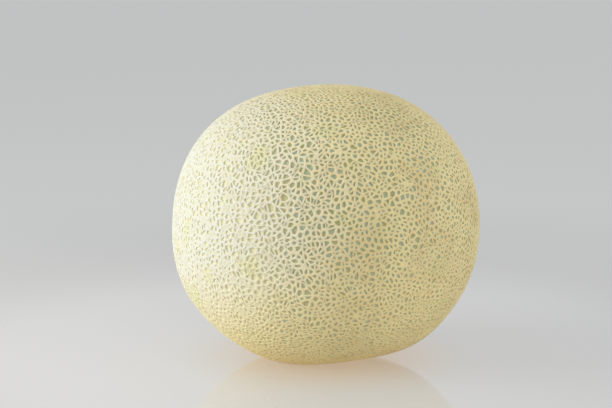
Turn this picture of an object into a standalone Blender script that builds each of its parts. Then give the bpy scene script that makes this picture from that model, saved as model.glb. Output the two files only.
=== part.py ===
# A netted cantaloupe melon, built as the one solid that it grew as. The corky net is finer
# than this form: the solid's skin lies at the height of the net's crests.
#
# Metres, +Z up. The origin is the middle of the bottom of the bounding box, so the melon
# stands on the plane z = 0 on the small flat spot under its left side.

from math import atan, exp, hypot, pi, radians, tan

import bmesh
import bpy
from mathutils import Vector

# The round form, before the resting spot is taken off its underside.
WIDTH = 0.150
DEPTH = 0.147
HEIGHT = 0.1330
ROUNDNESS = 2.26         # exponent of the upright outline: 2 is an ellipse, more is squarer
FOOT_SLICE = 0.0021      # what the resting spot takes off the lowest point

GRID = 20                # faces along each side of the cube that is rounded into the melon
SCAR_CUTS = 2            # extra cuts in each edge of the faces around a scar


def towards(side, back, up):
    """A unit direction from the middle of the melon."""
    return Vector((side, back, up)).normalized()


# Where the fruit is off-round: (direction, rise of the skin, angle over which it fades).
SWELLINGS = (
    (towards(-0.93, -0.10, -0.36), 0.0019, radians(26)),
    (towards(-0.32, -0.04, -0.95), 0.0046, radians(24)),
    (towards(0.55, -0.10, -0.83), 0.0024, radians(16)),
    (towards(0.90, 0.00, -0.44), -0.0008, radians(24)),
    (towards(0.86, -0.05, 0.50), -0.0018, radians(28)),
    (towards(-0.20, 0.90, 0.25), 0.0010, radians(38)),
)

# The two ends of the fruit: the scar that the stem slipped from, up and behind, and the
# small scar of the flower, below the right side and clear of the floor.
# (direction, radius of the scar, its step below the skin, radius of the dish, its depth)
STEM_SCAR = (towards(-0.32, 0.46, 0.83), 0.0100, 0.0007, 0.0190, 0.0022)
BLOSSOM_SCAR = (towards(0.38, 0.00, -0.92), 0.0055, 0.0005, 0.0100, 0.0008)
SCARS = (STEM_SCAR, BLOSSOM_SCAR)
RIM = 0.0012             # width over which a scar's edge steps down

RIND_COLOUR = (0.56, 0.51, 0.30, 1.0)


def round_radius(direction):
    """Distance from the middle to the round form's skin."""
    across = hypot(direction.x / (WIDTH / 2), direction.y / (DEPTH / 2))
    upright = abs(direction.z) / (HEIGHT / 2)
    radius = (across ** ROUNDNESS + upright ** ROUNDNESS) ** (-1 / ROUNDNESS)
    for swelling, rise, fade in SWELLINGS:
        radius += rise * exp(-(direction.angle(swelling) / fade) ** 2)
    return radius


def scar_depth(direction, radius):
    """How far the dishes around the two scars lower the skin."""
    depth = 0.0
    for middle, scar_radius, step, dish_radius, dish_depth in SCARS:
        along_skin = direction.angle(middle) * radius
        depth += dish_depth * exp(-(along_skin / dish_radius) ** 2)
        depth += step * (0.5 - atan((along_skin - scar_radius) / (RIM / 2)) / pi)
    return depth


def near_a_scar(edge):
    """True for an edge in or beside one of the two dishes."""
    middle = sum((vert.co for vert in edge.verts), Vector()) / 2
    return any(middle.angle(scar[0]) * WIDTH / 2 < scar[3] for scar in SCARS)


def rounded_cube(bm):
    """A ball of even, nearly square faces: a cut-up cube pushed out to a sphere."""
    bmesh.ops.create_cube(bm, size=2)
    bmesh.ops.subdivide_edges(bm, edges=bm.edges[:], cuts=GRID - 1, use_grid_fill=True)
    for vert in bm.verts:
        vert.co = Vector([tan(side * pi / 4) for side in vert.co]).normalized()
    close = [edge for edge in bm.edges if near_a_scar(edge)]
    bmesh.ops.subdivide_edges(bm, edges=close, cuts=SCAR_CUTS, use_grid_fill=True)
    for vert in bm.verts:
        vert.co.normalize()


def cut_resting_spot(bm):
    """Slice the underside flat, and close the slice with one face."""
    lowest = min(vert.co.z for vert in bm.verts)
    everything = bm.verts[:] + bm.edges[:] + bm.faces[:]
    cut = bmesh.ops.bisect_plane(
        bm, geom=everything, plane_co=(0, 0, lowest + FOOT_SLICE), plane_no=(0, 0, 1),
        clear_inner=True)
    rim = [part for part in cut["geom_cut"] if isinstance(part, bmesh.types.BMEdge)]
    bmesh.ops.contextual_create(bm, geom=rim)


def stand_on_origin(bm):
    """Move the melon so that the middle of the bottom of its box is the origin."""
    places = [vert.co for vert in bm.verts]
    low = Vector([min(place[axis] for place in places) for axis in range(3)])
    high = Vector([max(place[axis] for place in places) for axis in range(3)])
    middle = (low + high) / 2
    bmesh.ops.translate(bm, verts=bm.verts[:], vec=(-middle.x, -middle.y, -low.z))


def rind_material():
    """Dull straw-coloured rind."""
    material = bpy.data.materials.new("rind")
    material.use_nodes = True
    shader = material.node_tree.nodes["Principled BSDF"]
    shader.inputs["Base Color"].default_value = RIND_COLOUR
    shader.inputs["Roughness"].default_value = 0.6
    shader.inputs["Metallic"].default_value = 0.0
    return material


def make_melon():
    """The whole fruit as one closed solid."""
    bm = bmesh.new()
    rounded_cube(bm)
    for vert in bm.verts:
        direction = vert.co.copy()
        radius = round_radius(direction)
        vert.co = direction * (radius - scar_depth(direction, radius))
    cut_resting_spot(bm)
    stand_on_origin(bm)
    bmesh.ops.recalc_face_normals(bm, faces=bm.faces[:])
    mesh = bpy.data.meshes.new("melon")
    bm.to_mesh(mesh)
    bm.free()
    mesh.shade_smooth()
    mesh.materials.append(rind_material())
    melon = bpy.data.objects.new("melon", mesh)
    bpy.context.scene.collection.objects.link(melon)


for old_object in list(bpy.data.objects):
    bpy.data.objects.remove(old_object, do_unlink=True)
make_melon()
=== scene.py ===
# A netted cantaloupe melon on a pale studio floor: a grey-green skin under a raised corky net,
# the dished scar where the vine slipped away, and the small scar of the flower.

import random
from math import atan, atan2, cos, exp, pi, radians, sin

import bmesh
import bpy
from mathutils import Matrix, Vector, noise
from mathutils.bvhtree import BVHTree
from mathutils.kdtree import KDTree


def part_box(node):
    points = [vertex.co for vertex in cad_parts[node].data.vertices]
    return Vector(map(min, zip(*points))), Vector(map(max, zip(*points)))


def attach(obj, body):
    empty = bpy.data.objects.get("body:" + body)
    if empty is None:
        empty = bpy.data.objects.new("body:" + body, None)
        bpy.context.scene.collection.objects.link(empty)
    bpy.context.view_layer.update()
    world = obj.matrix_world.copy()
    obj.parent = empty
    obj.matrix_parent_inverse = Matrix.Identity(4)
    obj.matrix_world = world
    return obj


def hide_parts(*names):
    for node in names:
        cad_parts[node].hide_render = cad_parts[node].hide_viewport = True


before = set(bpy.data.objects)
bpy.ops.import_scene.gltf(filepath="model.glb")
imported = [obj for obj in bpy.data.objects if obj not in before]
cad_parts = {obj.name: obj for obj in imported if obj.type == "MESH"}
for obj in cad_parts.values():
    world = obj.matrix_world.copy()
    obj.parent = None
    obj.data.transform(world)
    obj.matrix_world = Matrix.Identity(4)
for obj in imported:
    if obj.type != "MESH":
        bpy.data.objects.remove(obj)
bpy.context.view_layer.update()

# The fruit's form. A melon swells evenly as it grows and flattens a little where it lies, so
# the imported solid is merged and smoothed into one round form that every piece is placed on.

SAME_PLACE = 1e-6
SMOOTHINGS = 3
low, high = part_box("melon")
MIDDLE = Vector((0, 0, (low[2] + high[2]) / 2))
form = bmesh.new()
form.from_mesh(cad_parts["melon"].data)
bmesh.ops.remove_doubles(form, verts=form.verts[:], dist=SAME_PLACE)
bmesh.ops.subdivide_edges(form, edges=form.edges[:], cuts=1, smooth=1.0, use_grid_fill=True)
for _ in range(SMOOTHINGS):
    bmesh.ops.smooth_vert(
        form, verts=form.verts[:], factor=0.5, use_axis_x=True, use_axis_y=True, use_axis_z=True)
skin = BVHTree.FromBMesh(form)
form.free()


def on_skin(direction, depth):
    """The place on the fruit in a direction from its middle, sunk by a depth."""
    place = skin.ray_cast(MIDDLE, direction)[0]
    place -= direction * depth
    place.z = max(place.z, 0.0)
    return place


# The net. The skin of a swelling melon cracks, and cork grows up through each crack until the
# cracks join into a raised net. Its openings are small pits with the green skin at the bottom,
# wider on the front, top and back and finer around the stem and towards the flower end.


def toward(side, back, up):
    """A unit direction from the fruit's middle."""
    return Vector((side, back, up)).normalized()


def near(direction, spot, width):
    """How near a direction is to a spot, from 1 down to 0, over a width in degrees."""
    return exp(-(direction.angle(spot) / radians(width)) ** 2)


STEM_END = toward(-0.32, 0.46, 0.83)
FLOWER_END = toward(0.38, 0.00, -0.92)
# Where the openings are wide: the direction, the width in degrees, and how wide they get.
WIDE_FRONT = (toward(-0.27, -0.88, 0.28), 45, 1.0)
WIDE_TOP = (toward(0.35, -0.38, 0.85), 28, 0.75)
WIDE_BACK = (toward(0.45, 0.85, 0.10), 72, 1.0)
FRUIT_RADIUS = 0.072
PITS_TRIED = 90000
PIT_GAP = 0.00218
BROAD_WARP = 0.026
BROAD_WAVES = 13
FINE_WARP = 0.011
FINE_WAVES = 31
CREST_UNEVENNESS = 0.00008
CREST_WAVES = 60
SHORT_LINK = 0.0005
SORT_LINE = Vector((1.0, 0.71, 0.53))
LATE_CRACK_AREA = 10e-6
WIDE_AREA = 5.2e-6


def breadth(direction):
    """How wide the openings are there, from 0 to 1."""
    return max(share * near(direction, spot, width)
               for spot, width, share in (WIDE_FRONT, WIDE_TOP, WIDE_BACK))


def pit_gap(direction):
    """The least distance from a pit to the next, as a share of the fruit's radius."""
    size = (0.80 + 0.30 * breadth(direction) - 0.06 * near(direction, FLOWER_END, 60)
            - 0.08 * near(direction, STEM_END, 22) + 0.10 * noise.noise(direction * 4.0))
    return PIT_GAP / FRUIT_RADIUS * size


# Pits are tried at random all over, and each that is kept clears a little space round it.
chance = random.Random(5)
noise.seed_set(7)
tries = [Vector([chance.gauss(0, 1) for _ in range(3)]).normalized() for _ in range(PITS_TRIED)]
tree = KDTree(PITS_TRIED)
for index, pit in enumerate(tries):
    tree.insert(pit, index)
tree.balance()
net = bmesh.new()
crowded = set()
for index, pit in enumerate(tries):
    if index not in crowded:
        net.verts.new(pit)
        room = pit_gap(pit) * chance.uniform(0.75, 1.15)
        crowded.update(other for _, other, _ in tree.find_range(pit, room))

# A hull over the pits has a triangle between each three neighbours. A junction of the net is
# put in each triangle, each hull edge is turned to join the two junctions beside it, and the
# pits are dissolved, which leaves one many-sided face for each opening. The hull's parts come
# in no fixed order, so they are sorted along a slanting line before anything depends on it.
bmesh.ops.convex_hull(net, input=net.verts[:])
pits = net.verts[:]
links = net.edges[:]
bmesh.ops.poke(net, faces=net.faces[:])
bmesh.ops.rotate_edges(net, edges=links, use_ccw=True)
bmesh.ops.dissolve_verts(net, verts=pits)

crest = net.verts.layers.float.new("crest")
tone = net.verts.layers.float.new("tone")
for junction in net.verts:
    direction = junction.co.normalized()
    direction += noise.noise_vector(direction * BROAD_WAVES) * BROAD_WARP
    direction += noise.noise_vector(direction * FINE_WAVES) * FINE_WARP
    direction.normalize()
    raised = CREST_UNEVENNESS * (1 - noise.noise(direction * CREST_WAVES))
    junction.co = on_skin(direction, -raised)
    junction[crest] = 1.0
net.verts.sort(key=lambda junction: junction.co.dot(SORT_LINE))
bmesh.ops.remove_doubles(net, verts=net.verts[:], dist=SHORT_LINK)
net.faces.sort(key=lambda opening: opening.calc_center_median().dot(SORT_LINE))


LUCK_WAVES = 3000


def luck(place):
    """A number from 0 to 1 that belongs to a place, whatever order the places are worked in."""
    return min(max(0.5 + noise.noise(place * LUCK_WAVES), 0.0), 1.0)


def crack(opening):
    """Split a large opening across by a late crack."""
    sides = len(opening.verts)
    middle = opening.calc_center_median()
    if sides < 5 or opening.calc_area() < LATE_CRACK_AREA * (0.5 + luck(middle)):
        return
    verts = opening.verts[:]
    cuts = []
    for first in range(sides):
        for second in range(first + 2, min(sides, first + sides - 1)):
            uneven = abs(second - first - sides / 2)
            length = (verts[first].co - verts[second].co).length
            strength = 0.8 + 0.4 * luck((verts[first].co + verts[second].co) / 2)
            cuts.append((length * (1 + uneven) * strength, first, second))
    _, first, second = min(cuts)
    bmesh.utils.face_split(opening, verts[first], verts[second])


for opening in net.faces[:]:
    crack(opening)


STEM_SCAR_RADIUS = 0.0100
FLOWER_SCAR_RADIUS = 0.0055
HIDDEN_SHARE = 0.9
SCAR_BED_DEPTH = 0.0009


def beneath_scar(place):
    """Whether a place is under one of the two scars, where the net is not seen."""
    direction = place - MIDDLE
    return (direction.angle(STEM_END) < HIDDEN_SHARE * STEM_SCAR_RADIUS / FRUIT_RADIUS
            or direction.angle(FLOWER_END) < HIDDEN_SHARE * FLOWER_SCAR_RADIUS / FRUIT_RADIUS)


# A wide opening's edge is drawn in from its strands' middles to the rim of the pit, and from
# there down the pit's wall. A narrow one goes straight down to one point, and here and there
# the cork has grown over it. Strands are lower and thicker where the openings are small.
STRAND_REACH = 0.00076
WALL_REACH = 0.00015
RIM_DEPTH = 0.00014
WIDE_PIT_DEPTH = 0.00062
NARROW_PIT_DEPTH = 0.0006
NARROW_PIT_SPREAD = 0.0004
GROWN_OVER_DEPTH = 0.0002
GROWN_OVER_WAVES = 600
GROWN_OVER_ABOVE = 0.42
LEAST_CORK = 0.40
ROUNDING = 0.25
MOST_KEPT = 0.9


def cork_height(place):
    """How high the net stands over the skin there: it is fullest round the wide openings."""
    return LEAST_CORK + (1 - LEAST_CORK) * breadth(place - MIDDLE)


def sink_rings(rings, reach, least, depth, height):
    """Round each opening's edge, draw it in by a reach, to a least share, and sink it."""
    bmesh.ops.inset_individual(net, faces=rings, thickness=0.0)
    for ring in rings:
        middle = ring.calc_center_median()
        spans = [(vert.co - middle).length for vert in ring.verts]
        mean = sum(spans) / len(spans)
        strand = reach * (1.1 - 0.1 * breadth(middle - MIDDLE))
        shade = luck(middle)
        for vert, span in zip(ring.verts, spans):
            drawn = max(span * (1 - ROUNDING) + mean * ROUNDING - strand, span * least)
            drawn = min(drawn, span * MOST_KEPT)
            place = middle + (vert.co - middle) * drawn / span
            vert.co = on_skin((place - MIDDLE).normalized(), depth * cork_height(place))
            vert[crest] = height
            vert[tone] = shade


openings = [face for face in net.faces if not beneath_scar(face.calc_center_median())]
wide_openings = [ring for ring in openings if ring.calc_area() > WIDE_AREA]
narrow_openings = [ring for ring in openings if ring.calc_area() <= WIDE_AREA]
sink_rings(wide_openings, reach=STRAND_REACH, least=0.38, depth=RIM_DEPTH, height=0.85)
sink_rings(wide_openings, reach=WALL_REACH, least=0.50, depth=WIDE_PIT_DEPTH, height=0.1)
pit_bottoms = bmesh.ops.poke(net, faces=narrow_openings, center_mode="MEAN")["verts"]
for vert in pit_bottoms:
    grown_over = noise.noise(vert.co * GROWN_OVER_WAVES) > GROWN_OVER_ABOVE
    vert[tone] = luck(vert.co)
    if grown_over:
        vert[crest] = 0.5
        depth = GROWN_OVER_DEPTH
    else:
        vert[crest] = 0.05 - 0.35 * breadth(vert.co - MIDDLE)
        depth = (NARROW_PIT_DEPTH + NARROW_PIT_SPREAD * vert[tone]) * cork_height(vert.co)
    vert.co = on_skin((vert.co - MIDDLE).normalized(), depth)
for vert in net.verts:
    if beneath_scar(vert.co):
        vert.co = on_skin((vert.co - MIDDLE).normalized(), SCAR_BED_DEPTH)
bmesh.ops.recalc_face_normals(net, faces=net.faces[:])

# The net's texture map: six patches, one for each way the surface mostly faces.
PATCH_FILL = 0.47
bake = net.loops.layers.uv.new("OFBake")
for face in net.faces:
    centre = face.calc_center_median() - MIDDLE
    side = max(range(3), key=lambda axis: abs(centre[axis]))
    facing = 1 if centre[side] > 0 else -1
    for loop in face.loops:
        arm = loop.vert.co - MIDDLE
        across = facing * atan(arm[(side + 1) % 3] / abs(arm[side])) / (pi / 4)
        along = atan(arm[(side + 2) % 3] / abs(arm[side])) / (pi / 4)
        column = (side + 0.5 + PATCH_FILL * across) / 3
        row = 0.5 + facing / 4 + PATCH_FILL * along / 2
        loop[bake].uv = (column, row)

mesh = bpy.data.meshes.new("netted_rind")
net.to_mesh(mesh)
net.free()
mesh.shade_smooth()
rind = bpy.data.objects.new("netted_rind", mesh)
bpy.context.scene.collection.objects.link(rind)


class Socket:
    """A shader socket that takes part in Python sums."""

    def __init__(self, link):
        self.link = link
        self.tree = link.id_data

    def join(self, operation, first, second):
        """A Math node on two sockets or numbers."""
        node = self.tree.nodes.new("ShaderNodeMath")
        node.operation = operation
        for slot, value in zip(node.inputs, (first, second)):
            plug(self.tree, slot, value)
        return Socket(node.outputs[0])

    def __add__(self, other):
        return self.join("ADD", self, other)

    __radd__ = __add__

    def __mul__(self, other):
        return self.join("MULTIPLY", self, other)

    __rmul__ = __mul__

    def __rsub__(self, other):
        return self.join("SUBTRACT", other, self)


def plug(tree, slot, value):
    """Link a socket, or set a plain value, with a colour's alpha added."""
    if isinstance(value, Socket):
        tree.links.new(value.link, slot)
    elif slot.type == "RGBA":
        slot.default_value = (*value, 1)
    else:
        slot.default_value = value


class Finish:
    """The nodes of a material or a world, all but the sums made by one method."""

    def __init__(self, owner, shader="Principled BSDF"):
        owner.use_nodes = True
        self.owner = owner
        self.tree = owner.node_tree
        self.shader = self.tree.nodes[shader]

    def node(self, kind, settings, inputs, output=0):
        """Any node: its settings or a ramp's stops first, then its sockets by name or number."""
        node = self.tree.nodes.new("ShaderNode" + kind)
        for name, value in settings.items():
            if name == "stops":
                while len(node.color_ramp.elements) < len(value):
                    node.color_ramp.elements.new(0.5)
                for element, (position, colour) in zip(node.color_ramp.elements, value):
                    element.position = position
                    element.color = (*colour, 1)
            else:
                setattr(node, name, value)
        for name, value in inputs.items():
            plug(self.tree, node.inputs[name], value)
        return Socket(node.outputs[output])

    def attribute(self, name):
        """A number that the mesh carries on its points."""
        return self.node("Attribute", {"attribute_name": name}, {}, 2)

    def place(self):
        """The place on the object, in metres."""
        return self.node("TexCoord", {}, {}, 3)

    def noise(self, scale, detail=2.0):
        """Cloudy noise, about 0.5, with features of about 1 / scale metres."""
        return self.node("TexNoise", {}, {"Vector": self.place(), "Scale": scale, "Detail": detail})

    def step(self, value, start, end):
        """A number from 0 at the start to 1 at the end, eased at both."""
        return self.node("MapRange", {"interpolation_type": "SMOOTHSTEP"}, {0: value, 1: start, 2: end})

    def facing(self, direction):
        """How far a place lies to one side of the fruit's middle, from -1 to 1."""
        arm = self.node("VectorMath", {"operation": "SUBTRACT"}, {0: self.place(), 1: MIDDLE})
        arm = self.node("VectorMath", {"operation": "NORMALIZE"}, {0: arm})
        return self.node("VectorMath", {"operation": "DOT_PRODUCT"}, {0: arm, 1: direction}, 1)

    def mix(self, factor, first, second):
        """A blend of two colours."""
        return self.node("Mix", {"data_type": "RGBA"}, {0: factor, 6: first, 7: second}, 2)

    def set(self, inputs):
        """Link or set the shader's own sockets."""
        for name, value in inputs.items():
            plug(self.tree, self.shader.inputs[name], value)


SKIN_TEAL = (0.44, 0.53, 0.40)
SKIN_OLIVE = (0.48, 0.46, 0.21)
PIT_WALL_CORK_AND_SHADE = (0.42, 0.35, 0.16)
SKIN_LIT_PALE = (0.84, 0.79, 0.47)
SKIN_STRAW = (0.74, 0.62, 0.32)
CORK_LIT_CREAM = (0.81, 0.79, 0.67)
CORK_STRAW = (0.90, 0.775, 0.405)
CORK_OCHRE = (0.93, 0.785, 0.39)
CORK_GREEN = (0.76, 0.73, 0.33)
CREST_TAN = (0.74, 0.56, 0.26)
SPOT_ORANGE = (0.88, 0.62, 0.24)
LIT_SIDE = toward(-0.93, -0.35, 0.0)
WARM_SIDE = toward(0.15, -0.20, -0.95)

corky = Finish(bpy.data.materials.new("corky_net_and_skin"))
height = corky.attribute("crest")
# Painted light: the side facing the left softbox is painted paler and whiter, in its pits and on its
# cork, with less tan and fewer orange spots, and its relief is bumped less.
lit_paleness = corky.step(corky.facing(LIT_SIDE), -0.04, 0.98)
warm = corky.step(corky.facing(WARM_SIDE), 0.05, 0.85)
patches = corky.noise(45.0)
skin_colour = corky.mix(corky.attribute("tone"), SKIN_TEAL, SKIN_OLIVE)
# The pit walls are darkened olive-brown: partly the cork's own darker inner side, partly painted shade
# in the pits.
skin_colour = corky.mix(0.8 * corky.step(height, 0.05, 0.30), skin_colour, PIT_WALL_CORK_AND_SHADE)
skin_colour = corky.mix(0.5 * warm, skin_colour, SKIN_STRAW)
skin_colour = corky.mix(corky.step(lit_paleness, 0.50, 1.0), skin_colour, SKIN_LIT_PALE)
cork_colour = corky.mix(warm, corky.mix(lit_paleness, CORK_STRAW, CORK_LIT_CREAM), CORK_OCHRE)
crest_colour = corky.mix(lit_paleness, CREST_TAN, CORK_STRAW)
tanned = 0.7 * (1 - lit_paleness) * corky.step(height, 0.75, 1.0) * corky.step(patches, 0.40, 0.70)
green = 0.5 * corky.step(corky.noise(70.0), 0.56, 0.72)
cork_colour = corky.mix(green, cork_colour, CORK_GREEN)
cork_colour = corky.mix(tanned, cork_colour, crest_colour)
spots = 0.55 * (1 - 0.6 * lit_paleness) * corky.step(height, 0.6, 1.0)
spots = spots * corky.step(corky.noise(330.0), 0.52, 0.68)
cork_colour = corky.mix(spots, cork_colour, SPOT_ORANGE)
colour = corky.mix(corky.step(height, 0.22, 0.52), skin_colour, cork_colour)
grain = corky.noise(1500.0, 3.0)
relief = (1 - 0.6 * lit_paleness) * corky.step(height, 0.0, 1.0) + 0.25 * grain
corky.set({
    "Base Color": colour,
    "Roughness": 0.50 + 0.2 * grain,
    "Normal": corky.node("Bump", {}, {"Strength": 0.7, "Distance": 0.0005, "Height": relief})})
mesh.materials.append(corky.owner)
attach(rind, "root")
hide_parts("melon")

# The scars. A ripe melon slips off its vine and leaves a round corky dish, with a ring of dried
# veins in it and cracks that run outwards. The flower leaves a small flat button of cork. Each
# is a thick disc turned from its half outline, with its edge under the rind.

SCAR_STEPS = 120
SCAR_BROWN = (0.42, 0.30, 0.15)
SCAR_TAN = (0.66, 0.54, 0.31)
CRACK_SPREAD = 0.10
# The rest are shares of the scar's radius.
CRACKED_OUT_TO = 0.97
VEIN_RING = 0.52
VEIN_WIDTH = 0.07
VEIN_HEIGHT = 0.035
LUMP_HEIGHT = 0.02
STEM_OUTLINE = ((0, -0.04), (0.30, -0.05), (0.52, -0.01), (0.75, 0.00), (0.90, 0.05), (1.0, 0.03),
                (1.05, -0.06), (0.95, -0.16), (0, -0.16))
FLOWER_OUTLINE = ((0, 0.04), (0.20, 0.05), (0.35, -0.02), (0.80, 0.00), (0.97, 0.03),
                  (1.05, -0.06), (0.95, -0.22), (0, -0.22))


def scar(name, spot, radius, outline, veins, crack_depth):
    """A corky disc bedded in the rind; the outline's (out, up) points are shares of the radius."""
    disc = bmesh.new()
    points = [disc.verts.new((out * radius, 0, up * radius)) for out, up in outline]
    edges = [disc.edges.new(pair) for pair in zip(points, points[1:])]
    bmesh.ops.subdivide_edges(disc, edges=edges, cuts=3)
    bmesh.ops.spin(
        disc, geom=disc.verts[:] + disc.edges[:], cent=(0, 0, 0), axis=(0, 0, 1), angle=2 * pi,
        steps=SCAR_STEPS, use_merge=True)
    bmesh.ops.remove_doubles(disc, verts=disc.verts[:], dist=SAME_PLACE)
    cracked = disc.verts.layers.float.new("crest")
    turn = spot.to_track_quat("Z", "Y")
    for vert in disc.verts:
        out = vert.co.xy.length / radius
        angle = atan2(vert.co.y, vert.co.x)
        # Noise that changes faster round the disc than outwards gives cracks along its rays.
        ray = Vector((cos(angle) * 2.6, sin(angle) * 2.6, 1.2 * out))
        split = 0.0
        if out < CRACKED_OUT_TO:
            split = max(0.0, 1 - abs(noise.noise(ray * 2.3)) / CRACK_SPREAD) * min(1.0, 2.2 * out)
        ring = 0.0
        if veins:
            ring = exp(-((out - VEIN_RING) / VEIN_WIDTH) ** 2) * max(0.0, cos(veins * angle)) ** 2
        rough = noise.noise(vert.co * 900)
        lift = vert.co.z + radius * (VEIN_HEIGHT * ring + LUMP_HEIGHT * rough) - crack_depth * split
        vert[cracked] = 0.5 + 0.35 * rough + 0.5 * ring - split
        flat = turn @ Vector((vert.co.x, vert.co.y, FRUIT_RADIUS))
        vert.co = on_skin(flat.normalized(), -lift)
    bmesh.ops.recalc_face_normals(disc, faces=disc.faces[:])
    shape = bpy.data.meshes.new(name)
    disc.to_mesh(shape)
    disc.free()
    shape.shade_smooth()
    cork = Finish(bpy.data.materials.new(name + "_cork"))
    depth = cork.attribute("crest")
    grain = cork.noise(1800.0, 4.0)
    bands = cork.noise(260.0, 3.0)
    tone = cork.step(0.6 * depth + 0.6 * bands, 0.2, 0.8)
    cork.set({
        "Base Color": cork.mix(tone, SCAR_BROWN, SCAR_TAN),
        "Roughness": 0.65 + 0.2 * grain,
        "Normal": cork.node("Bump", {}, {"Strength": 0.6, "Distance": 0.0003, "Height": grain})})
    shape.materials.append(cork.owner)
    piece = bpy.data.objects.new(name, shape)
    bpy.context.scene.collection.objects.link(piece)
    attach(piece, "root")
    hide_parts("melon")


scar("stem_scar", STEM_END, STEM_SCAR_RADIUS, STEM_OUTLINE, veins=11, crack_depth=0.0005)
scar("flower_scar", FLOWER_END, FLOWER_SCAR_RADIUS, FLOWER_OUTLINE, veins=0, crack_depth=0.0003)

# The studio: a wide pale floor with a soft sheen near the fruit, a strong soft light to the left
# and a weak one to the right, even light from all round, and a camera a little above the fruit.

FLOOR_GREY = (0.30, 0.297, 0.29)
FLOOR_CONTACT_SHADOW_GLOW = (0.345, 0.28, 0.22)
FLOOR_GLOW = (0.378, 0.368, 0.352)
FLOOR_SHADE_GLOW = (0.272, 0.270, 0.266)
FLOOR_FAR_GLOW = (0.318, 0.328, 0.322)
AWAY_FROM_LIGHT = Vector((0.8, 0.6, 0.0))
# Where each change over the floor starts and ends, in metres from the middle of the fruit.
SHADE_STRETCH = (-0.16, 0.14)
CONTACT_SHADOW_STRETCH = (0.02, 0.078)
FAR_STRETCH = (0.15, 0.5)
SHEEN_STRETCH = (0.10, 0.35)
FLOOR_REACH = 30
FLOOR_DROP = 0.0002
SKY_LOW = (0.53, 0.535, 0.535)
SKY_HIGH = (0.63, 0.65, 0.68)
floor_shape = bmesh.new()
bmesh.ops.create_grid(floor_shape, x_segments=1, y_segments=1, size=FLOOR_REACH)
bmesh.ops.translate(floor_shape, verts=floor_shape.verts[:], vec=(0, 0, -FLOOR_DROP))
floor_mesh = bpy.data.meshes.new("floor")
floor_shape.to_mesh(floor_mesh)
floor_shape.free()
floor = bpy.data.objects.new("floor", floor_mesh)
bpy.context.scene.collection.objects.link(floor)
pale_floor = Finish(bpy.data.materials.new("pale_floor"))
# The floor's emission is painted light: the floor glows so that the fruit's cast shadow stays faint,
# and the glow falls to a painted shade away from the left light.
far = pale_floor.node("VectorMath", {"operation": "LENGTH"}, {0: pale_floor.place()}, 1)
shade = pale_floor.node(
    "VectorMath", {"operation": "DOT_PRODUCT"}, {0: pale_floor.place(), 1: AWAY_FROM_LIGHT}, 1)
glow = pale_floor.mix(pale_floor.step(shade, *SHADE_STRETCH), FLOOR_GLOW, FLOOR_SHADE_GLOW)
# Right round the fruit the glow is darker and warmer: a painted contact shadow and a painted warm
# reflection of the fruit.
glow = pale_floor.mix(pale_floor.step(far, *CONTACT_SHADOW_STRETCH), FLOOR_CONTACT_SHADOW_GLOW, glow)
pale_floor.set({
    "Base Color": FLOOR_GREY,
    "Roughness": 0.07 + 0.83 * pale_floor.step(far, *SHEEN_STRETCH),
    "Specular IOR Level": 0.28,
    "Emission Color": pale_floor.mix(pale_floor.step(far, *FAR_STRETCH), glow, FLOOR_FAR_GLOW),
    "Emission Strength": 1.0})
floor_mesh.materials.append(pale_floor.owner)

world = bpy.data.worlds.new("studio")
bpy.context.scene.world = world
sky = Finish(world, "Background")
rise = sky.node("SeparateXYZ", {}, {0: sky.node("TexCoord", {}, {}, 0)}, 2)
sky.set({"Color": sky.node("ValToRGB", {"stops": ((0.02, SKY_LOW), (0.30, SKY_HIGH))}, {0: rise})})
bpy.context.scene.view_settings.view_transform = "Standard"

SOFTBOX_WIDTH = 0.9
SOFTBOX_HEIGHT = 0.6
SOFTBOX_SPREAD = radians(90)


def soft_light(name, place, power, colour):
    """A softbox that faces the fruit."""
    lamp = bpy.data.lights.new(name, "AREA")
    lamp.shape = "RECTANGLE"
    lamp.size = SOFTBOX_WIDTH
    lamp.size_y = SOFTBOX_HEIGHT
    lamp.energy = power
    lamp.color = colour
    lamp.spread = SOFTBOX_SPREAD
    box = bpy.data.objects.new(name, lamp)
    box.location = place
    box.rotation_euler = (MIDDLE - Vector(place)).to_track_quat("-Z", "Y").to_euler()
    box.visible_camera = False
    box.visible_glossy = False
    bpy.context.scene.collection.objects.link(box)


soft_light("left_softbox", (-1.45, -0.25, 0.42), power=4.0, colour=(0.98, 1.0, 0.98))
soft_light("right_softbox", (1.2, -0.7, 0.45), power=1.05, colour=(1.0, 0.98, 0.93))

ELEVATION = radians(10)
DISTANCE = 0.95
FOCAL_LENGTH = 114.2
AIM_SHIFT = Vector((-0.0097, 0, 0.0091))
aim = MIDDLE + AIM_SHIFT
lens = bpy.data.cameras.new("camera")
lens.lens = FOCAL_LENGTH
camera = bpy.data.objects.new("camera", lens)
camera.location = aim + DISTANCE * Vector((0, -cos(ELEVATION), sin(ELEVATION)))
camera.rotation_euler = (aim - camera.location).to_track_quat("-Z", "Y").to_euler()
bpy.context.scene.collection.objects.link(camera)
bpy.context.scene.camera = camera
